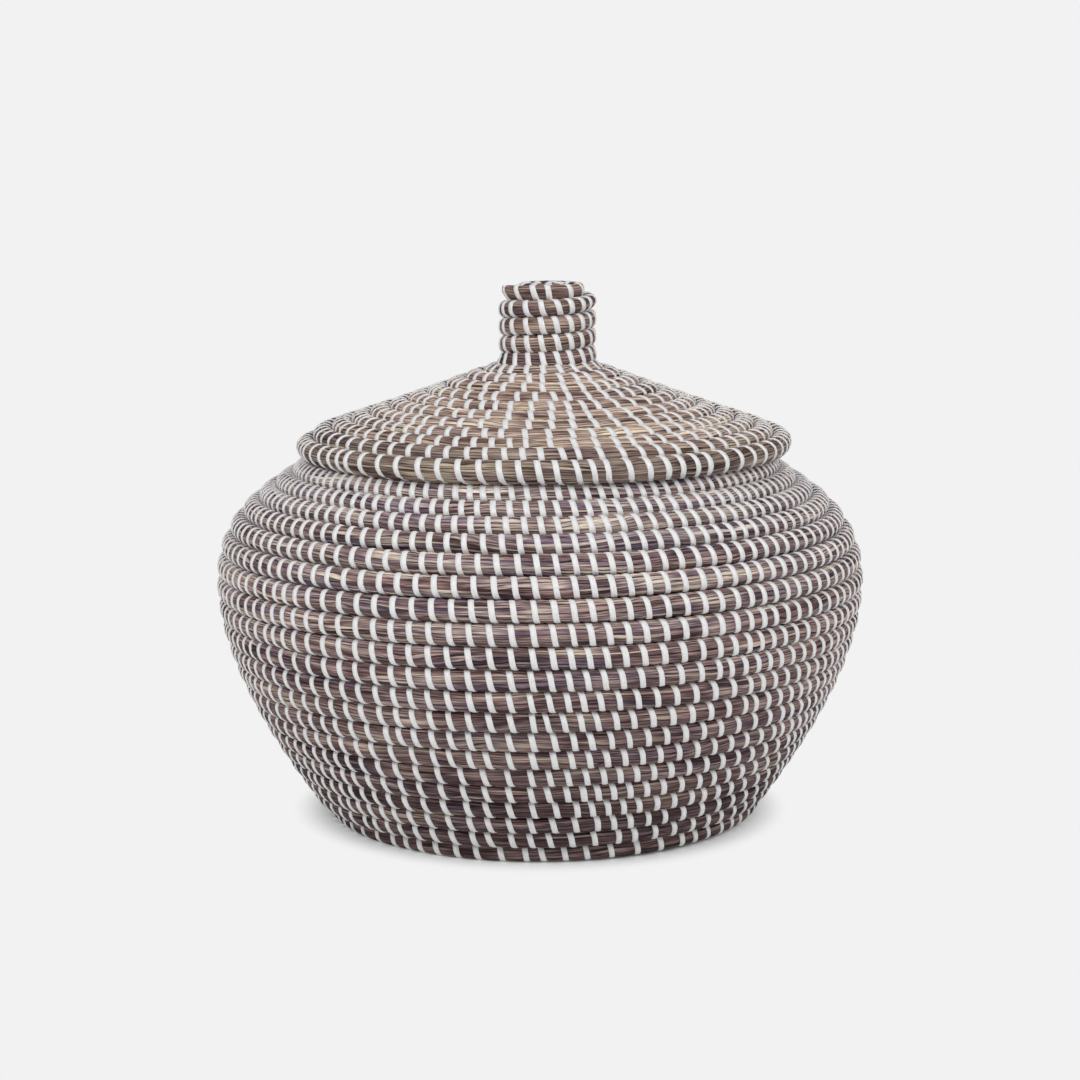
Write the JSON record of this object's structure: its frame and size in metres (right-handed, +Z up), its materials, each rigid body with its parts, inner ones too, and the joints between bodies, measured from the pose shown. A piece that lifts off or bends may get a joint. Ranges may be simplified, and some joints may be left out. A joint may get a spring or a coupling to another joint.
{
  "type": "lidded seagrass basket",
  "caption": "Round bulging storage basket of coiled seagrass sewn with flat plastic strip, with a low conical lid that lifts off by a coiled knob.",
  "frame": {"origin": "on the floor, at the middle of the base", "axes": "+Z up along the axis of the basket; the lid's axis is parallel to it, 3.4 mm towards +X, as the lid lies in the picture; -Y is the side that the picture shows; the coils end at +Y, the back"},
  "size_m": [0.2999, 0.2999, 0.2468],
  "materials": {
    "body_grass": "matte dried seagrass stalks, grey-brown with purple-grey streaks",
    "lid_grass": "matte dried seagrass stalks, tan with brown streaks",
    "knob_grass": "matte dried seagrass stalks, darker brown",
    "hoop_grass": "matte dried seagrass stalks, tan",
    "plastic_strip": "flat white plastic strip, slightly ribbed, satin"
  },
  "bodies": {
    "basket": {"base_coil": "body_grass", "wall_coil_01": "body_grass", "wall_coil_02": "body_grass", "wall_coil_03": "body_grass", "wall_coil_04": "body_grass", "wall_coil_05": "body_grass", "wall_coil_06": "body_grass", "wall_coil_07": "body_grass", "wall_coil_08": "body_grass", "wall_coil_09": "body_grass", "wall_coil_10": "body_grass", "wall_coil_11": "body_grass", "wall_coil_12": "body_grass", "wall_coil_13": "body_grass", "wall_coil_14": "body_grass", "wall_coil_15": "body_grass", "wall_coil_16": "body_grass", "wall_coil_17": "body_grass", "wall_coil_18": "body_grass", "wall_coil_19": "body_grass", "rim_coil": "body_grass"},
    "lid": {"knob_top_coil": "knob_grass", "knob_coil_1": "knob_grass", "knob_coil_2": "knob_grass", "knob_coil_3": "knob_grass", "knob_coil_4": "knob_grass", "knob_coil_5": "knob_grass", "cone_coil_01": "lid_grass", "cone_coil_02": "lid_grass", "cone_coil_03": "lid_grass", "cone_coil_04": "lid_grass", "cone_coil_05": "lid_grass", "cone_coil_06": "lid_grass", "cone_coil_07": "lid_grass", "cone_coil_08": "lid_grass", "cone_coil_09": "lid_grass", "cone_coil_10": "lid_grass", "lid_edge_coil": "lid_grass", "lid_hoop_1": "hoop_grass", "lid_hoop_2": "hoop_grass"}
  },
  "joints": [
    {"name": "lid_lift", "type": "slide", "parent": "basket", "child": "lid", "axis": [0, 0, 1], "range_m": [0, 0.25]}
  ]
}
